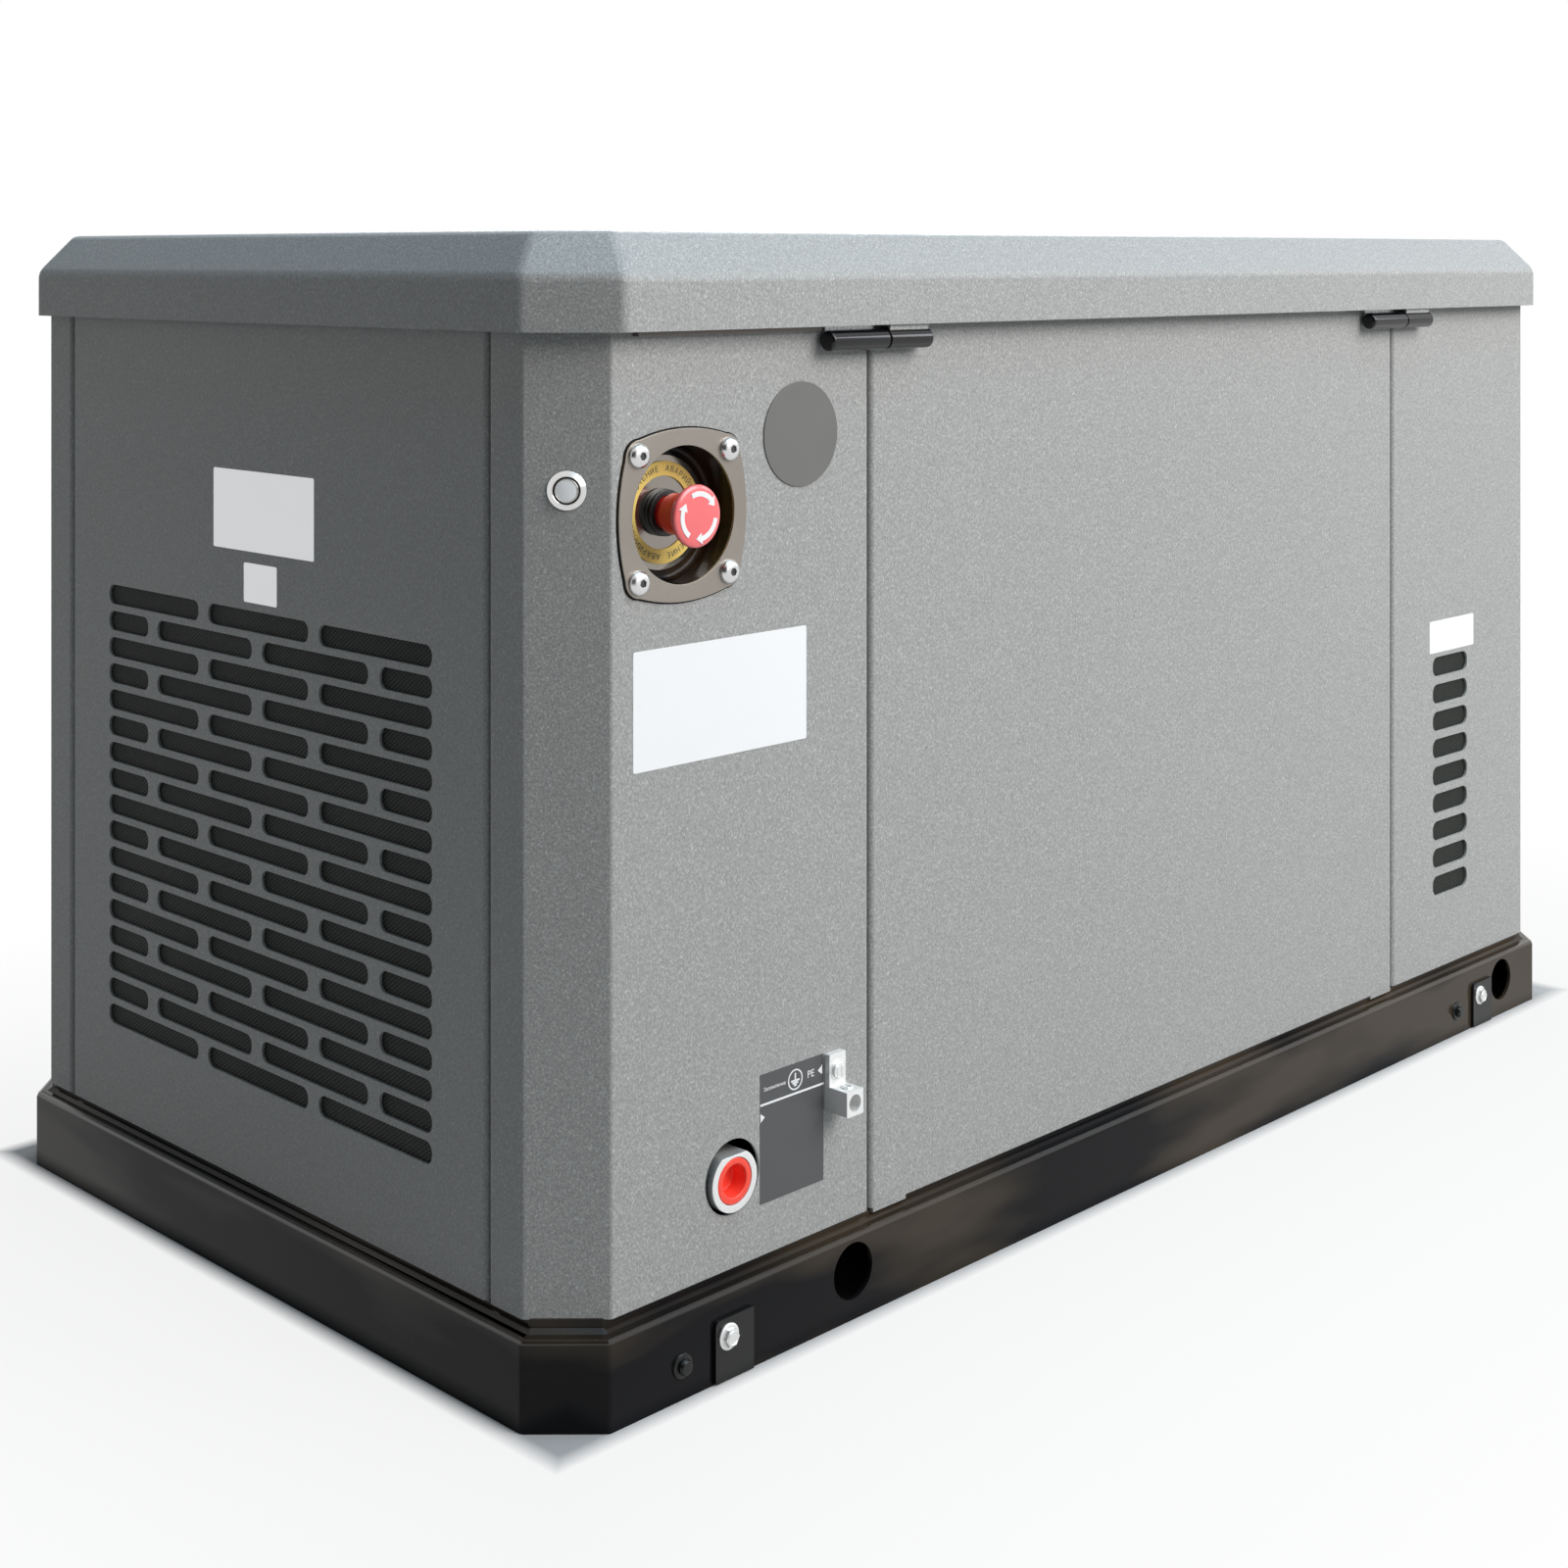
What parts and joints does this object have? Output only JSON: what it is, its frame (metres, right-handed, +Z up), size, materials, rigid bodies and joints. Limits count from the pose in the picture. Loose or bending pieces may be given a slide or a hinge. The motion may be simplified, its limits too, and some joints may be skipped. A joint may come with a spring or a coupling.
{
  "type": "home standby generator",
  "caption": "Enclosed gas-fired standby generator on a tray base: grey folded panels, hinged lid, slotted intake, recessed stop button and gas inlet.",
  "frame": {"origin": "bottom centre of the whole object, on the floor under the tray base", "axes": "+X along the long side, away from the slotted intake end; +Y away from the hinge side with the stop button; +Z up"},
  "size_m": [1.2616, 0.711, 0.736],
  "materials": {
    "powder_coat": "fine-textured grey powder coat",
    "base_paint": "gloss black paint",
    "black_steel": "satin black paint",
    "frame_paint": "matt dark paint",
    "control_plastic": "moulded control case",
    "mesh_steel": "dark expanded metal mesh",
    "foam": "acoustic foam",
    "estop_plate": "satin bronze-grey metal",
    "legend_yellow": "satin yellow",
    "black_plastic": "moulded black plastic",
    "red_plastic": "glossy red plastic",
    "stainless": "polished stainless steel",
    "zinc": "bright zinc plate",
    "dark_cover": "satin dark grey",
    "cast_aluminium": "cast, matt",
    "cast_iron": "laminated core and casing, matt",
    "exhaust_steel": "heat-tinted steel",
    "hose_rubber": "matt rubber",
    "filter_paint": "plain light enamel",
    "yellow_plastic": "yellow plastic"
  },
  "bodies": {
    "enclosure": {"front_left_panel": "powder_coat", "front_access_panel": "powder_coat", "front_right_panel": "powder_coat", "rear_left_panel": "powder_coat", "rear_access_panel": "powder_coat", "rear_right_panel": "powder_coat", "intake_end_panel": "powder_coat", "outlet_end_panel": "powder_coat", "base_pan": "base_paint", "hold_down_bracket_front_left": "black_steel", "hold_down_bracket_front_right": "black_steel", "hold_down_bracket_rear_left": "black_steel", "hold_down_bracket_rear_right": "black_steel", "hinge_left_frame_leaf": "black_steel", "hinge_right_frame_leaf": "black_steel", "blower_housing": "black_steel", "starter_motor": "black_steel", "inner_frame": "frame_paint", "engine_cradle": "frame_paint", "controller_box": "control_plastic", "intake_screen": "mesh_steel", "side_vent_screen": "mesh_steel", "estop_housing": "estop_plate", "estop_legend_ring": "legend_yellow", "estop_collar": "black_plastic", "estop_contact_block": "black_plastic", "air_filter_box": "black_plastic", "battery": "black_plastic", "push_button_bezel": "stainless", "ground_lug": "zinc", "gas_inlet_coupling": "zinc", "inspection_cover": "dark_cover", "crankcase": "cast_aluminium", "cylinder_left": "cast_aluminium", "cylinder_right": "cast_aluminium", "alternator_end_bracket": "cast_aluminium", "intake_manifold": "cast_aluminium", "gas_mixer": "cast_aluminium", "gas_regulator": "cast_aluminium", "alternator_stator": "cast_iron", "muffler": "exhaust_steel", "exhaust_pipe_left": "exhaust_steel", "exhaust_pipe_right": "exhaust_steel", "gas_hose": "hose_rubber", "oil_filter": "filter_paint"},
    "lid": {"lid_shell": "powder_coat", "lid_liner": "foam", "hinge_left_lid_leaf": "black_steel", "hinge_right_lid_leaf": "black_steel"},
    "lid_lock_left": {"lid_lock_left": "black_plastic"},
    "lid_lock_right": {"lid_lock_right": "black_plastic"},
    "estop_stem": {"estop_plunger": "red_plastic"},
    "estop_button": {"estop_head": "red_plastic"},
    "push_button": {"push_button_cap": "stainless"},
    "gas_plug": {"gas_inlet_plug": "red_plastic"},
    "rotor": {"alternator_rotor": "stainless", "flywheel_fan": "cast_aluminium"},
    "throttle": {"throttle_lever": "zinc"},
    "oil_dipstick": {"dipstick": "yellow_plastic"},
    "breaker": {"breaker_lever": "black_plastic"}
  },
  "joints": [
    {"name": "lid_hinge", "type": "hinge", "parent": "enclosure", "child": "lid", "pos_m": [0, -0.343, 0.663], "axis": [1, 0, 0], "range_deg": [0, 80]},
    {"name": "lid_lock_left_turn", "type": "hinge", "parent": "lid", "child": "lid_lock_left", "pos_m": [-0.48, 0.3483, 0.684], "axis": [0, -1, 0], "range_deg": [0, 90]},
    {"name": "lid_lock_right_turn", "type": "hinge", "parent": "lid", "child": "lid_lock_right", "pos_m": [0.48, 0.3483, 0.684], "axis": [0, -1, 0], "range_deg": [0, 90]},
    {"name": "estop_press", "type": "slide", "parent": "enclosure", "child": "estop_stem", "axis": [0, 1, 0], "range_m": [0, 0.004], "stiffness_N_per_m": 1500},
    {"name": "estop_twist", "type": "hinge", "parent": "estop_stem", "child": "estop_button", "pos_m": [-0.524, -0.3345, 0.556], "axis": [0, 1, 0], "range_deg": [0, 45], "stiffness_Nm_per_rad": 0.3},
    {"name": "push_button_press", "type": "slide", "parent": "enclosure", "child": "push_button", "axis": [0.7071, 0.7071, 0], "range_m": [0, 0.002], "stiffness_N_per_m": 800},
    {"name": "gas_plug_pull", "type": "slide", "parent": "enclosure", "child": "gas_plug", "axis": [0, -1, 0], "range_m": [0, 0.035]},
    {"name": "rotor_spin", "type": "hinge", "parent": "enclosure", "child": "rotor", "pos_m": [0, 0.02, 0.275], "axis": [1, 0, 0], "continuous": true},
    {"name": "throttle_turn", "type": "hinge", "parent": "enclosure", "child": "throttle", "pos_m": [-0.045, -0.0053, 0.535], "axis": [0, 1, 0], "range_deg": [-20, 40], "stiffness_Nm_per_rad": 0.05},
    {"name": "dipstick_pull", "type": "slide", "parent": "enclosure", "child": "oil_dipstick", "axis": [0, 0, 1], "range_m": [0, 0.12]},
    {"name": "breaker_toggle", "type": "hinge", "parent": "enclosure", "child": "breaker", "pos_m": [-0.5, -0.16, 0.637], "axis": [1, 0, 0], "range_deg": [-25, 25]}
  ]
}
